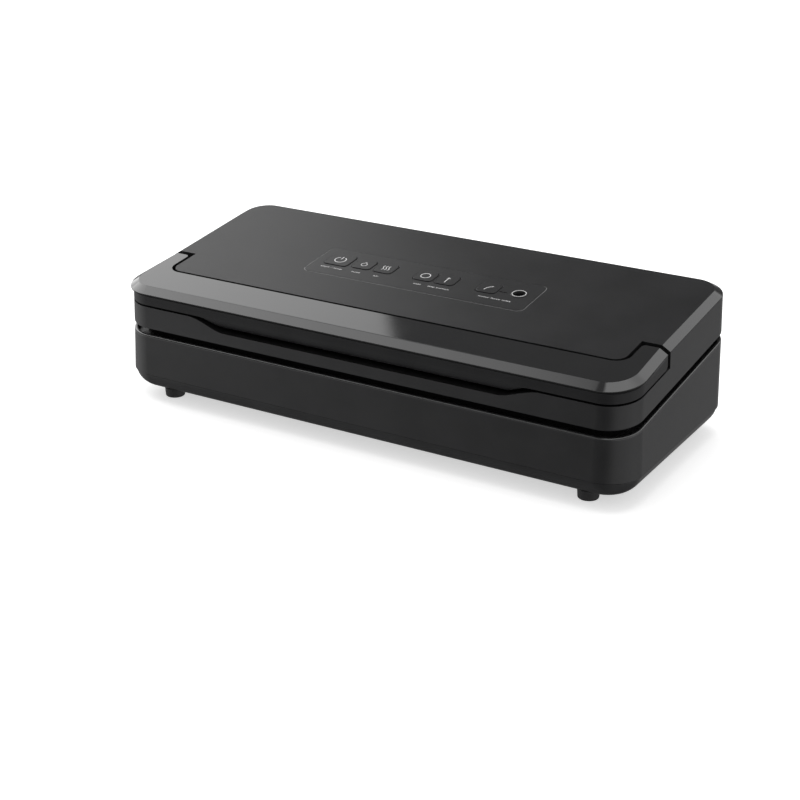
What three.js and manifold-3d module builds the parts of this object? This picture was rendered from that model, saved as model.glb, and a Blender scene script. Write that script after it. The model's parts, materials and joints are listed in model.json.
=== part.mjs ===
import * as THREE from 'three';
import Module from 'manifold-3d';

// Countertop vacuum sealer, closed. Millimetres, +X right, -Y front, +Z up, feet on Z = 0.

const wasm = await Module();
wasm.setup();

const rad = THREE.MathUtils.degToRad;

// Body
const WIDTH = 465;              // plan size of the walls at DRAFT_LEVEL
const DEPTH = 201;
const CORNER = 27;              // plan radius of the corners
const CORNER_STEPS = 7;
const DRAFT = rad(1.95);        // walls widen downwards
const DRAFT_LEVEL = 74;
const SLOPE = rad(6.93);        // top and parting planes rise to the rear
const WALL = 2.6;
const GAP = 0.3;                // between pieces that touch

// Levels. All but BELLY and SEAM are planes with SLOPE, and the number is their height at Y = 0.
const BELLY = 8.6;              // underside
const SEAM = 23.5;              // base wall to bottom cover
const BASE_TOP = 71.1;
const LID_LOW = 76.8;
const HANDLE_LOW = 97.4;
const CHAMFER_LOW = 108.5;
const DECK = 112.7;             // top plane of the lid and the handle

// Lid top
const CHAMFER = 7;              // plan width of the chamfer round the top
const TOP_SKIN = 4;
const PANEL = { x: -0.4, y: 6.9, width: 206.4, height: 49.8, radius: 6, thick: 1.9 };
const BUTTON_Y = 10.9;
const BUTTONS = {
  start_button: { x: -82.9, width: 23, height: 21 },
  moist_button: { x: -58.8, width: 17.6, height: 17.6 },
  dry_button: { x: -37.9, width: 17.6, height: 17.6 },
  seal_button: { x: 0.4, width: 18, height: 17.6 },
  pulse_button: { x: 20.6, width: 18, height: 17.6 },
  hose_button: { x: 59, width: 18, height: 17.6 },
};
const BUTTON_RISE = 0.8;
const PORT = { x: 86.5, y: 10.6, outer: 7.2, barrel: 6, bore: 4.5 };

// Handle: a U round the front and sides of the lid
const OVERHANG = 3.6;           // of its front chamfer beyond the band below
const ARM_X = 209.3;            // inner side of the arms
const BAR_Y = -62.3;            // rear side of the front bar
const ARM_END = -31;            // rear end of the arms
const NOTCH_END = -26;          // the lid starts again behind them
const U_RADIUS = 11;
const HANDLE_SKIN = 2.2;
const HANDLE_GAP = 1.3;         // shadow line under the handle
const U_GAP = 0.6;              // half the shadow line inside the U
const PIVOT = { along: -36, below: 7, radius: 2 };
const SCOOP = { half: 144, run: 19, floor: 86.9, back: -88 };
const HOOK = { x: 190, width: 8, inner: 54, outer: 58, from: -163.8, to: -129 };

// Hinge of the lid
const HINGE_Y = 94;
const HINGE_X = 150;
const HINGE_Z = (BASE_TOP + LID_LOW) / 2 + HINGE_Y * Math.tan(SLOPE);
const KNUCKLE = 3.6;

// Base
const BEVEL = 14.8;             // undercut of the bottom cover
const FOOT = { x: 194.8, y: 80.3, radius: 7.9 };
const BAY = { half: 158, low: 16, high: 82, axis_z: 56, radius: 34, skin: 2 };
const GUTTER = { outer: 2.4, inner: 11.6, depth: 4.2 };     // channel behind the rim of the base
const TRAY = { half: 150, low: -62, high: -34, depth: 14, skin: 1.6 };
const BAR = { half: 150, low: -86, high: -76 };
const RAIL = { half: 165, low: 3, high: 11, height: 7 };
const CUTTER_X = -145;          // where the cutter is parked
const POCKET = { half: 170, low: 0, high: 84, top: 91.5 };

// ---- helpers -------------------------------------------------------------------------------

const slant = y => y * Math.tan(SLOPE);
const grow = level => (DRAFT_LEVEL - level) * Math.tan(DRAFT);
const shear = new THREE.Matrix4().set(1, 0, 0, 0, 0, 1, 0, 0, 0, Math.tan(SLOPE), 1, 0, 0, 0, 0, 1);
const onDeck = new THREE.Matrix4().makeRotationX(SLOPE).setPosition(0, 0, DECK);
const alongX = new THREE.Matrix4().set(0, 0, 1, 0, 1, 0, 0, 0, 0, 1, 0, 0, 0, 0, 0, 1);
const alongY = new THREE.Matrix4().set(1, 0, 0, 0, 0, 0, -1, 0, 0, 1, 0, 0, 0, 0, 0, 1);
const pivotY = PIVOT.along * Math.cos(SLOPE) + PIVOT.below * Math.sin(SLOPE);
const pivotZ = DECK + PIVOT.along * Math.sin(SLOPE) - PIVOT.below * Math.cos(SLOPE);

// Plan outline of the body, anticlockwise. The overhang moves only what faces the front.
function outline(offset, overhang = 0) {
  const radius = CORNER + offset;
  const points = [];
  [[1, -1], [1, 1], [-1, 1], [-1, -1]].forEach(([sx, sy], corner) => {
    for (let i = 0; i <= CORNER_STEPS; i++) {
      const angle = rad(90 * (corner - 1) + 90 * i / CORNER_STEPS);
      const front = Math.max(0, -Math.sin(angle));
      const x = sx * (WIDTH / 2 - CORNER) + radius * Math.cos(angle);
      const y = sy * (DEPTH / 2 - CORNER) + radius * Math.sin(angle) - overhang * front;
      points.push([x, y]);
    }
  });
  return points;
}

// Solid through plan outlines: each section is [points, level, sloped].
function loft(sections) {
  const count = sections[0][0].length;
  const position = [];
  const index = [];
  for (const [points, level, sloped = true] of sections) {
    for (const [x, y] of points) position.push(x, y, level + (sloped ? slant(y) : 0));
  }
  for (let k = 0; k + 1 < sections.length; k++) {
    for (let i = 0; i < count; i++) {
      const j = (i + 1) % count;
      const low = k * count;
      const high = low + count;
      index.push(low + i, low + j, high + j, low + i, high + j, high + i);
    }
  }
  const last = (sections.length - 1) * count;
  for (let i = 1; i + 1 < count; i++) {
    index.push(0, i + 1, i, last, last + i, last + i + 1);
  }
  const geometry = new THREE.BufferGeometry();
  geometry.setAttribute('position', new THREE.Float32BufferAttribute(position, 3));
  geometry.setIndex(index);
  return geometry;
}

function rectShape(x0, y0, x1, y1, radius = 0) {
  const shape = new THREE.Shape();
  if (!radius) {
    shape.moveTo(x0, y0).lineTo(x1, y0).lineTo(x1, y1).lineTo(x0, y1);
    return shape;
  }
  shape.absarc(x1 - radius, y0 + radius, radius, -Math.PI / 2, 0);
  shape.absarc(x1 - radius, y1 - radius, radius, 0, Math.PI / 2);
  shape.absarc(x0 + radius, y1 - radius, radius, Math.PI / 2, Math.PI);
  shape.absarc(x0 + radius, y0 + radius, radius, Math.PI, Math.PI * 1.5);
  return shape;
}

function extrude(shape, low, high, steps = 4, bevel = 0) {
  const options = { depth: high - low - bevel, curveSegments: steps, bevelEnabled: bevel > 0 };
  if (bevel) Object.assign(options, { bevelThickness: bevel, bevelSize: bevel, bevelOffset: -bevel, bevelSegments: 1 });
  return new THREE.ExtrudeGeometry(shape, options).translate(0, 0, low);
}

// Plate between two sloped levels, and the same as a plain box.
const slab = (x0, y0, x1, y1, low, high, radius = 0) =>
  extrude(rectShape(x0, y0, x1, y1, radius), low, high).applyMatrix4(shear);
const box = (x0, y0, z0, x1, y1, z1) => extrude(rectShape(x0, y0, x1, y1), z0, z1);

function rod(radius, low, high, segments = 20) {
  const profile = [[0, low], [radius, low], [radius, high], [0, high]];
  return turned(profile, segments);
}

// Lathe about Z from [radius, z] pairs.
function turned(profile, segments = 24) {
  const points = profile.map(([r, z]) => new THREE.Vector2(r, z));
  return new THREE.LatheGeometry(points, segments).rotateX(Math.PI / 2);
}

const rodX = (radius, x0, x1, y, z, segments) => rod(radius, x0, x1, segments).rotateY(Math.PI / 2).translate(0, y, z);

function solid(geometry) {
  const position = geometry.getAttribute('position');
  const source = geometry.index ? geometry.index.array : [...Array(position.count).keys()];
  const seen = new Map();
  const vertices = [];
  const remap = [];
  for (let i = 0; i < position.count; i++) {
    const v = [position.getX(i), position.getY(i), position.getZ(i)];
    const key = v.map(c => Math.round(c * 2000)).join();
    if (!seen.has(key)) {
      seen.set(key, vertices.length / 3);
      vertices.push(...v);
    }
    remap.push(seen.get(key));
  }
  const triangles = [];
  for (let i = 0; i < source.length; i += 3) {
    const [a, b, c] = [remap[source[i]], remap[source[i + 1]], remap[source[i + 2]]];
    if (a !== b && b !== c && c !== a) triangles.push(a, b, c);
  }
  const mesh = { numProp: 3, vertProperties: new Float32Array(vertices), triVerts: new Uint32Array(triangles) };
  return new wasm.Manifold(new wasm.Mesh(mesh));
}

const cut = (body, ...tools) => tools.reduce((result, tool) => result.subtract(solid(tool)), body);
const join = (first, ...others) => others.reduce((result, other) => result.add(solid(other)), solid(first));

function geometryOf(body) {
  const mesh = body.getMesh();
  const geometry = new THREE.BufferGeometry();
  geometry.setAttribute('position', new THREE.BufferAttribute(new Float32Array(mesh.vertProperties), 3));
  geometry.setIndex(new THREE.BufferAttribute(new Uint32Array(mesh.triVerts), 1));
  return geometry;
}

const finishes = {
  body: [0x3b3c3e, 0.55, 0.1],
  handle: [0x6d6f72, 0.32, 0.6],
  panel: [0x38393b, 0.5, 0.1],
  button: [0x3f4042, 0.45, 0.1],
  inner: [0x2b2c2e, 0.6, 0],
  rubber: [0x1b1b1c, 0.9, 0],
  silicone: [0x77797c, 0.8, 0],
  steel: [0xb9bcc0, 0.35, 1],
  tape: [0xa98655, 0.7, 0],
  board: [0x1f5a36, 0.6, 0],
  component: [0x26282b, 0.5, 0.1],
  tray: [0x55575a, 0.5, 0],
};

const group = new THREE.Group();

function add(name, finish, body) {
  const raw = body.isBufferGeometry ? body : geometryOf(body);
  const geometry = raw.index ? raw.toNonIndexed() : raw;
  geometry.deleteAttribute('uv');
  geometry.computeVertexNormals();
  const [color, roughness, metalness] = finishes[finish];
  const mesh = new THREE.Mesh(geometry, new THREE.MeshStandardMaterial({ color, roughness, metalness }));
  mesh.name = name;
  group.add(mesh);
}

const sides = { left: -1, right: 1 };

// ---- base ----------------------------------------------------------------------------------

// Walls and deck in one moulding, open below, with the roll bay and the tray let into the deck.
const baseOuter = loft([
  [outline(grow(SEAM)), SEAM, false],
  [outline(grow(BASE_TOP - 0.8)), BASE_TOP - 0.8],
  [outline(grow(BASE_TOP) - 0.7), BASE_TOP],
]);
const baseInner = loft([
  [outline(grow(SEAM) - WALL), SEAM - 2, false],
  [outline(grow(BASE_TOP) - WALL), BASE_TOP - GUTTER.depth - 2.4],
  [outline(grow(BASE_TOP) - GUTTER.inner - 2.2), BASE_TOP - GUTTER.depth - 2.3],
  [outline(grow(BASE_TOP) - GUTTER.inner - 2.2), BASE_TOP - 2.5],
]);
const gutter = cut(
  solid(loft([[outline(grow(BASE_TOP) - GUTTER.outer), BASE_TOP - GUTTER.depth],
    [outline(grow(BASE_TOP) - GUTTER.outer), BASE_TOP + 2]])),
  loft([[outline(grow(BASE_TOP) - GUTTER.inner), BASE_TOP - GUTTER.depth - 1],
    [outline(grow(BASE_TOP) - GUTTER.inner), BASE_TOP + 3]]),
  box(-260, 78, 50, 260, 120, 100));
const rearLedge = box(-240, 92, 72, 240, 110, 95);
const hookSlots = (y0, y1, low, high) => Object.values(sides).map(side =>
  slab(side * HOOK.x - 6, y0, side * HOOK.x + 6, y1, low, high));
const baseShell = cut(
  cut(solid(baseOuter), geometryOf(cut(solid(baseInner), rearLedge)), geometryOf(gutter)),
  box(-240, HINGE_Y + 2.8, HINGE_Z - 5.8, 240, 110, 110),
  slab(-BAY.half, BAY.low, BAY.half, BAY.high, BASE_TOP - 8, BASE_TOP + 2, 4),
  slab(-TRAY.half, TRAY.low, TRAY.half, TRAY.high, BASE_TOP - 8, BASE_TOP + 2, 5),
  ...hookSlots(-79, -67, BASE_TOP - 6, BASE_TOP + 2),
  ...Object.values(sides).map(side => box(side * HINGE_X - 10, 86.5, 68, side * HINGE_X + 10, 97, 95)),
  rod(6.3, 90, 110).rotateX(-Math.PI / 2).translate(-190, 0, 36),
);
add('base_shell', 'body', baseShell);

const coverOuter = loft([
  [outline(grow(SEAM) - BEVEL), BELLY, false],
  [outline(grow(SEAM) - 11.2), 9.9, false],
  [outline(grow(SEAM) - 7.6), 12, false],
  [outline(grow(SEAM) - 4.4), 14.8, false],
  [outline(grow(SEAM) - 2), 18.4, false],
  [outline(grow(SEAM) - 0.9), SEAM - 1.6, false],
  [outline(grow(SEAM) - 0.9), SEAM - 0.4, false],
]);
const coverInner = loft([
  [outline(grow(SEAM) - BEVEL - 1), BELLY + 2.4, false],
  [outline(grow(SEAM) - 10), 13.4, false],
  [outline(grow(SEAM) - 5), 18.4, false],
  [outline(grow(SEAM) - 0.9 - 2.6), SEAM - 1.4, false],
  [outline(grow(SEAM) - 0.9 - 2.6), SEAM + 1, false],
]);
const screws = [[-120, -60], [120, -60], [-120, 60], [120, 60]];
add('bottom_cover', 'body', cut(solid(coverOuter), coverInner,
  ...screws.map(([x, y]) => rod(1.9, BELLY - 2, BELLY + 5, 12).translate(x, y, 0))));

for (const [end, sy] of [['front', -1], ['rear', 1]]) {
  for (const [side, sx] of Object.entries(sides)) {
    const profile = [[0, 0.4], [5.2, 0.4], [5.5, 0], [FOOT.radius - 0.9, 0], [FOOT.radius - 0.25, 0.8],
      [FOOT.radius, BELLY - GAP], [0, BELLY - GAP]];
    add(`foot_${end}_${side}`, 'rubber', turned(profile, 20).translate(sx * FOOT.x, sy * FOOT.y, 0));
    const top = BELLY - GAP;
    const screw = turned([[0, top - 1.2], [1, top - 1.2], [1, top - 2], [3.2, top - 2], [3.5, top - 1.4], [3.5, top],
      [1.5, top], [1.5, 17], [0, 18.5]], 12);
    add(`screw_${end}_${side}`, 'steel', screw.translate(sx * 120, sy * 60, 0));
  }
}

// Roll bay: a half-round trough below its opening in the deck.
function bayProfile(radius, top) {
  const middle = (BAY.low + BAY.high) / 2;
  const shape = new THREE.Shape();
  shape.moveTo(middle + radius, top);
  shape.lineTo(middle - radius, top);
  shape.absarc(middle, BAY.axis_z, radius, Math.PI, 2 * Math.PI);
  return shape;
}
const bayLength = 2 * (BAY.half + 1.5);
add('roll_cradle', 'inner', cut(
  solid(extrude(bayProfile(BAY.radius, 90), -bayLength / 2, bayLength / 2, 14).applyMatrix4(alongX)),
  extrude(bayProfile(BAY.radius - BAY.skin, 92), -BAY.half + 0.5, BAY.half - 0.5, 14).applyMatrix4(alongX),
  slab(-200, 0, 200, 100, BASE_TOP - 2.8, BASE_TOP + 40)));

// Lift-out drip tray: its flange lies on the deck inside the gasket.
const rim = 4;
add('drip_tray', 'tray', cut(
  solid(geometryOf(join(
    slab(-TRAY.half + GAP, TRAY.low + GAP, TRAY.half - GAP, TRAY.high - GAP, BASE_TOP - TRAY.depth, BASE_TOP + 1.4, 4.7),
    slab(-TRAY.half - rim, TRAY.low - rim, TRAY.half + rim, TRAY.high + rim, BASE_TOP + GAP, BASE_TOP + 1.4, 7)))),
  slab(-TRAY.half + TRAY.skin, TRAY.low + TRAY.skin, TRAY.half - TRAY.skin, TRAY.high - TRAY.skin,
    BASE_TOP - TRAY.depth + TRAY.skin, BASE_TOP + 3, 4)));

const gasketRing = (low, high) => cut(
  solid(slab(-TRAY.half - 11, TRAY.low - 11, TRAY.half + 11, TRAY.high + 11, low, high, 13)),
  slab(-TRAY.half - 6, TRAY.low - 6, TRAY.half + 6, TRAY.high + 6, low - 1, high + 1, 8));
add('lower_gasket', 'silicone', gasketRing(BASE_TOP + GAP, BASE_TOP + 2.7));

const strip = (half, low, high, from, to) => slab(-half, low, half, high, from, to);
add('sealing_bar', 'inner', strip(BAR.half, BAR.low, BAR.high, BASE_TOP + GAP, BASE_TOP + 1.2));
add('heating_strip', 'steel', strip(BAR.half - 2, -83.5, -78.5, BASE_TOP + 1.5, BASE_TOP + 1.8));
add('heat_tape', 'tape', strip(BAR.half - 1, -85.5, -76.5, BASE_TOP + 2.1, BASE_TOP + 2.4));

// Bag cutter: a slotted rail in front of the roll, with a blade carriage on it.
add('cutter_rail', 'inner', cut(
  solid(slab(-RAIL.half, RAIL.low, RAIL.half, RAIL.high, BASE_TOP + GAP, BASE_TOP + RAIL.height)),
  slab(-RAIL.half + 6, 6, RAIL.half - 6, 8, BASE_TOP + 1.5, BASE_TOP + RAIL.height + 1)));
const carriageLow = BASE_TOP + RAIL.height + GAP;
add('cutter_carriage', 'component',
  slab(CUTTER_X - 9, RAIL.low - 1, CUTTER_X + 9, RAIL.high + 1, carriageLow, carriageLow + 7, 3));
add('cutter_blade', 'steel', slab(CUTTER_X - 7, 6.7, CUTTER_X + 7, 7.3, BASE_TOP + 2, carriageLow - GAP));

// Pump, hose and electrics, in the spaces beside the roll bay.
add('pump_motor', 'steel', turned([[0, 0], [17, 0], [17, 50], [6, 50], [6, 54], [0, 54]], 24)
  .rotateX(-Math.PI / 2).translate(198, 6, 38));
add('pump_head', 'component', box(178, -36, 21, 218, 5.5, 55));
const hosePath = new THREE.CatmullRomCurve3([[177, -20, 44], [172, -20, 44], [160, -38, 56], [155, -48, 58], [151, -48, 58]]
  .map(p => new THREE.Vector3(...p)));
const hoseRing = new THREE.Shape();
hoseRing.absarc(0, 0, 3, 0, 2 * Math.PI);
const hoseHole = new THREE.Path();
hoseHole.absarc(0, 0, 1.8, 0, 2 * Math.PI);
hoseRing.holes.push(hoseHole);
add('vacuum_hose', 'silicone', new THREE.ExtrudeGeometry(hoseRing,
  { steps: 9, curveSegments: 4, bevelEnabled: false, extrudePath: hosePath }));
add('release_valve', 'component', turned([[0, 18], [8, 18], [8, 34], [4, 34], [4, 40], [0, 40]], 20)
  .translate(205, -56, 0));
add('transformer', 'steel', join(box(-219, 10, 16, -172, 60, 56), box(-213, 5, 22, -180, 65, 50)));
add('power_board', 'board', box(-222, -60, 16, -168, -4, 17.6));
add('capacitor', 'component', rod(6, 17.9, 40, 20).translate(-208, -44, 0));
add('relay', 'component', box(-196, -34, 17.9, -174, -18, 34));
add('lid_switch', 'component', box(-216, -62, 46, -203, -54, 60));
add('cord_gland', 'rubber', turned([[3.4, 0], [6, 0], [6, 9.45], [9, 9.45], [9, 10.2], [3.4, 10.2], [3.4, 0]], 20)
  .rotateX(-Math.PI / 2).translate(-190, DEPTH / 2 + grow(CHAMFER_LOW) + OVERHANG - 10.2, 36));

for (const [side, s] of Object.entries(sides)) {
  add(`latch_keeper_${side}`, 'steel', cut(
    solid(slab(s * HOOK.x - 11, -84, s * HOOK.x + 11, -62, BASE_TOP - 4.3, BASE_TOP - 2.8, 2)),
    slab(s * HOOK.x - 5.5, -78.5, s * HOOK.x + 5.5, -67.5, BASE_TOP - 6, BASE_TOP)));

  add(`hinge_bracket_${side}`, 'steel', cut(
    solid(box(s * HINGE_X - 9, 87.5, 70, s * HINGE_X + 9, 96.3, HINGE_Z + 3)),
    box(s * HINGE_X - 4.5, 80, HINGE_Z - 4.4, s * HINGE_X + 4.5, 110, 110),
    rodX(1.9, s * HINGE_X - 20, s * HINGE_X + 20, HINGE_Y, HINGE_Z, 16)));
  add(`hinge_pin_${side}`, 'steel', rodX(1.6, s * HINGE_X - 9, s * HINGE_X + 9, HINGE_Y, HINGE_Z, 16));
  add(`hinge_knuckle_${side}`, 'inner', cut(
    join(rodX(KNUCKLE, s * HINGE_X - 4.2, s * HINGE_X + 4.2, HINGE_Y, HINGE_Z, 20),
      box(s * HINGE_X - 4.2, HINGE_Y - 2.6, HINGE_Z, s * HINGE_X + 4.2, HINGE_Y + 2.6, HINGE_Z + 20)),
    rodX(1.9, s * HINGE_X - 20, s * HINGE_X + 20, HINGE_Y, HINGE_Z, 16)));
}

// ---- lid -----------------------------------------------------------------------------------

// Block of the lid top that stands inside the U of the handle, widened or narrowed by inset.
const insideU = inset => slab(-ARM_X + inset, BAR_Y + inset, ARM_X - inset, 140, 60, 140, U_RADIUS - inset);

// What the handle and its fingers need: the step round the front and sides, and the scoop.
function lidRecess(skin) {
  const step = cut(
    solid(slab(-260, -130, 260, NOTCH_END + skin, HANDLE_LOW - HANDLE_GAP - skin, DECK + 30)),
    insideU(U_GAP + skin));
  const shape = new THREE.Shape();
  const top = HANDLE_LOW + 1;
  const floor = SCOOP.floor - skin;
  const reach = SCOOP.half + skin;
  shape.moveTo(-reach - SCOOP.run, top + 2);
  for (const s of [-1, 1]) {
    for (let i = 0; i <= 8; i++) {
      const t = s < 0 ? i / 8 : 1 - i / 8;
      const x = s * (reach + SCOOP.run * (1 - 2 * t));
      shape.lineTo(x, floor + (top - floor) * (0.5 + 0.5 * Math.cos(Math.PI * t)));
    }
  }
  shape.lineTo(reach + SCOOP.run, top + 2);
  const scoop = extrude(shape, 0, 40).applyMatrix4(alongY).translate(0, SCOOP.back + skin, 0).applyMatrix4(shear);
  return step.add(solid(scoop));
}

const lidOuter = loft([
  [outline(grow(LID_LOW) - 0.7), LID_LOW],
  [outline(grow(LID_LOW)), LID_LOW + 0.8],
  [outline(grow(CHAMFER_LOW)), CHAMFER_LOW],
  [outline(grow(CHAMFER_LOW) - CHAMFER), DECK],
]);
const lidInner = loft([
  [outline(grow(LID_LOW) - WALL), LID_LOW - 1],
  [outline(grow(CHAMFER_LOW) - WALL), CHAMFER_LOW - 3],
  [outline(grow(CHAMFER_LOW) - WALL - 5), DECK - TOP_SKIN],
]);
const cavity = solid(lidInner).subtract(lidRecess(WALL));
const panelHole = (inset, low, high) => extrude(rectShape(
  PANEL.x - PANEL.width / 2 + inset, PANEL.y - PANEL.height / 2 + inset,
  PANEL.x + PANEL.width / 2 - inset, PANEL.y + PANEL.height / 2 - inset, PANEL.radius - inset), low, high, 5)
  .applyMatrix4(onDeck);
const lidShell = cut(
  solid(lidOuter).subtract(lidRecess(0)).subtract(cavity),
  panelHole(0, -PANEL.thick - GAP, 10),
  panelHole(3, -12, 10),
  ...hookSlots(-93, -83, HANDLE_LOW - 8, HANDLE_LOW + 4),
  rodX(2.3, -240, 240, pivotY, pivotZ, 16));
add('lid_shell', 'body', lidShell);

// Underside of the lid, with a pocket above the roll and the cutter.
const linerPocket = (grown, low, high) => slab(
  -POCKET.half - grown, POCKET.low - grown, POCKET.half + grown, POCKET.high + grown, low, high, 6 + grown);
add('lid_liner', 'inner', cut(
  join(loft([[outline(grow(LID_LOW) - 3.1), LID_LOW + 0.2], [outline(grow(LID_LOW) - 3.1), LID_LOW + 2.4]]),
    linerPocket(1.8, LID_LOW + 1, POCKET.top)),
  linerPocket(0, LID_LOW - 2, POCKET.top - 1.8),
  slab(-260, 86.5, 260, 140, LID_LOW - 10, LID_LOW + 10),
  ...hookSlots(-87, -75, LID_LOW - 4, LID_LOW + 8)));
add('upper_gasket', 'silicone', gasketRing(BASE_TOP + 3, LID_LOW - 0.1));
add('pressure_strip', 'silicone', strip(BAR.half, -85, -77, BASE_TOP + 2.7, LID_LOW - 0.1));

// Control panel, its buttons and the hose port, drawn flat and then laid on the sloping deck.
const buttonRect = ({ x, width, height }, extra) => rectShape(
  x - width / 2 - extra, BUTTON_Y - height / 2 - extra, x + width / 2 + extra, BUTTON_Y + height / 2 + extra, 4);
const portRod = (radius, low, high) => rod(radius, low, high, 24).translate(PORT.x, PORT.y, 0);
const panelPlate = cut(
  solid(extrude(rectShape(PANEL.x - PANEL.width / 2 + 0.5, PANEL.y - PANEL.height / 2 + 0.5,
    PANEL.x + PANEL.width / 2 - 0.5, PANEL.y + PANEL.height / 2 - 0.5, PANEL.radius - 0.5), -PANEL.thick, 0, 5)),
  ...Object.values(BUTTONS).map(button => extrude(buttonRect(button, GAP), -5, 5)),
  portRod(PORT.barrel + GAP, -5, 5));
add('control_panel', 'panel', geometryOf(panelPlate).applyMatrix4(onDeck));
for (const [name, button] of Object.entries(BUTTONS)) {
  const cap = extrude(buttonRect(button, 0), -3, BUTTON_RISE, 3, 0.4);
  const flange = extrude(buttonRect(button, 1), -3.6, -2.6, 2);
  add(name, 'button', geometryOf(join(cap, flange)).applyMatrix4(onDeck));
}
add('control_board', 'board', geometryOf(cut(
  solid(extrude(rectShape(PANEL.x - 98, PANEL.y - 20, PANEL.x + 98, PANEL.y + 20), -9.6, -8)),
  portRod(PORT.barrel + 1, -12, 0))).applyMatrix4(onDeck));
const laidPort = profile => turned(profile, 24).translate(PORT.x, PORT.y, 0).applyMatrix4(onDeck);
add('port_collar', 'panel', laidPort([[PORT.bore, -5], [PORT.barrel, -5], [PORT.barrel, GAP], [PORT.outer, GAP],
  [PORT.outer, 0.7], [PORT.outer - 0.6, 1.1], [PORT.bore + 0.5, 1.1], [PORT.bore, 0.6], [PORT.bore, -5]]));
add('port_tube', 'silicone', laidPort([[PORT.bore, -20], [PORT.barrel, -20], [PORT.barrel, -5.3],
  [PORT.bore, -5.3], [PORT.bore, -20]]));

for (const [side, s] of Object.entries(sides)) {
  const pin = turned([[0, 0], [2.7, 0], [2.7, 2], [PIVOT.radius, 2], [PIVOT.radius, 16], [0, 16]], 16);
  add(`handle_pin_${side}`, 'steel', pin.rotateY(s * Math.PI / 2).translate(s * 203.8, pivotY, pivotZ));
}

// ---- handle --------------------------------------------------------------------------------

const handleOuter = loft([
  [outline(grow(HANDLE_LOW)), HANDLE_LOW],
  [outline(grow(CHAMFER_LOW), 0.3), CHAMFER_LOW - 4],
  [outline(grow(CHAMFER_LOW), 1.4), CHAMFER_LOW - 1.8],
  [outline(grow(CHAMFER_LOW), OVERHANG), CHAMFER_LOW - 0.5],
  [outline(grow(CHAMFER_LOW), OVERHANG), CHAMFER_LOW],
  [outline(grow(CHAMFER_LOW) - CHAMFER, OVERHANG), DECK],
]);
const handleInner = loft([
  [outline(grow(HANDLE_LOW) - HANDLE_SKIN), HANDLE_LOW - 2],
  [outline(grow(CHAMFER_LOW) - HANDLE_SKIN), CHAMFER_LOW - 2],
  [outline(grow(CHAMFER_LOW) - HANDLE_SKIN - 4), DECK - HANDLE_SKIN],
]);
const behind = y => slab(-260, y, 260, 160, 60, 150);
const handleCavity = cut(solid(handleInner), insideU(-U_GAP - HANDLE_SKIN), behind(ARM_END - HANDLE_SKIN));
const armHeel = new THREE.Shape();
armHeel.moveTo(ARM_END - 3, HANDLE_LOW - 1);
armHeel.lineTo(ARM_END + 2, HANDLE_LOW - 1);
armHeel.lineTo(ARM_END + 2, HANDLE_LOW + 4);
add('handle_cover', 'handle', cut(
  solid(handleOuter).subtract(handleCavity),
  insideU(-U_GAP),
  behind(ARM_END),
  extrude(armHeel, -260, 260).applyMatrix4(alongX).applyMatrix4(shear),
  rodX(PIVOT.radius + GAP, -230, 230, pivotY, pivotZ, 16)));

add('handle_liner', 'inner', cut(
  solid(loft([[outline(grow(HANDLE_LOW) - HANDLE_SKIN - GAP), HANDLE_LOW + 0.1],
    [outline(grow(HANDLE_LOW + 2) - HANDLE_SKIN - GAP), HANDLE_LOW + 2]])),
  insideU(-U_GAP - HANDLE_SKIN - GAP),
  behind(ARM_END - HANDLE_SKIN - 3)));

for (const [side, s] of Object.entries(sides)) {
  const arc = new THREE.Shape();
  arc.absarc(pivotY, pivotZ, HOOK.outer, rad(HOOK.from), rad(HOOK.to), false);
  arc.absarc(pivotY, pivotZ, HOOK.inner, rad(HOOK.to), rad(HOOK.from), true);
  const low = s * HOOK.x - HOOK.width / 2;
  add(`latch_hook_${side}`, 'steel', extrude(arc, low, low + HOOK.width, 8).applyMatrix4(alongX));
}

export default group;
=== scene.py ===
import json
import math

import bmesh
import bpy
from mathutils import Matrix, Vector


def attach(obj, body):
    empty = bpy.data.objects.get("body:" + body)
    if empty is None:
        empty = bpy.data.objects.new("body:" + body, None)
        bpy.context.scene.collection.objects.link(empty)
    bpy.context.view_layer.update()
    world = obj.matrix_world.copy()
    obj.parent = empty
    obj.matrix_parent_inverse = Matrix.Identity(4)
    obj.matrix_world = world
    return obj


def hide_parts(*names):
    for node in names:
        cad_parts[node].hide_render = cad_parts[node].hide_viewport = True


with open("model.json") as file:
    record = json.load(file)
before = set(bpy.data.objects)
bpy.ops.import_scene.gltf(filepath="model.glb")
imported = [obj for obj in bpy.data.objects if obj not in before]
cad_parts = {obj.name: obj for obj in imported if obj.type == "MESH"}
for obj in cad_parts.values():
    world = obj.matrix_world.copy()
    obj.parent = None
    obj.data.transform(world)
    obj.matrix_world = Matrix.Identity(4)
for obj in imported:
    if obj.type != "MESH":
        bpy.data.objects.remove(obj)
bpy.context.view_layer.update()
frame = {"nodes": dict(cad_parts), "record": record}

# Countertop vacuum sealer. Shapes are modelled in millimetres and scaled to metres at the end.
MM = 0.001
rad = math.radians

# ---- dimensions of the CAD part, in millimetres ---------------------------------------------

CORNER = 27.0                   # plan radius of the corners
DRAFT = rad(1.95)               # walls widen downwards
DRAFT_LEVEL = 74.0
SLOPE = rad(6.93)               # top and parting planes rise to the rear
WALL = 2.6
GAP = 0.3

WIDTH = 465.0
DEPTH = 201.0

# Levels, measured on the plane through the middle of the body.
BELLY = 8.6
SEAM = 23.5
BASE_TOP = 71.1
LID_LOW = 76.8
HANDLE_LOW = 97.4
CHAMFER_LOW = 108.5
DECK = 112.7
CHAMFER = 7.0                   # width of the chamfer in plan
TOP_SKIN = 4.0

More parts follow.
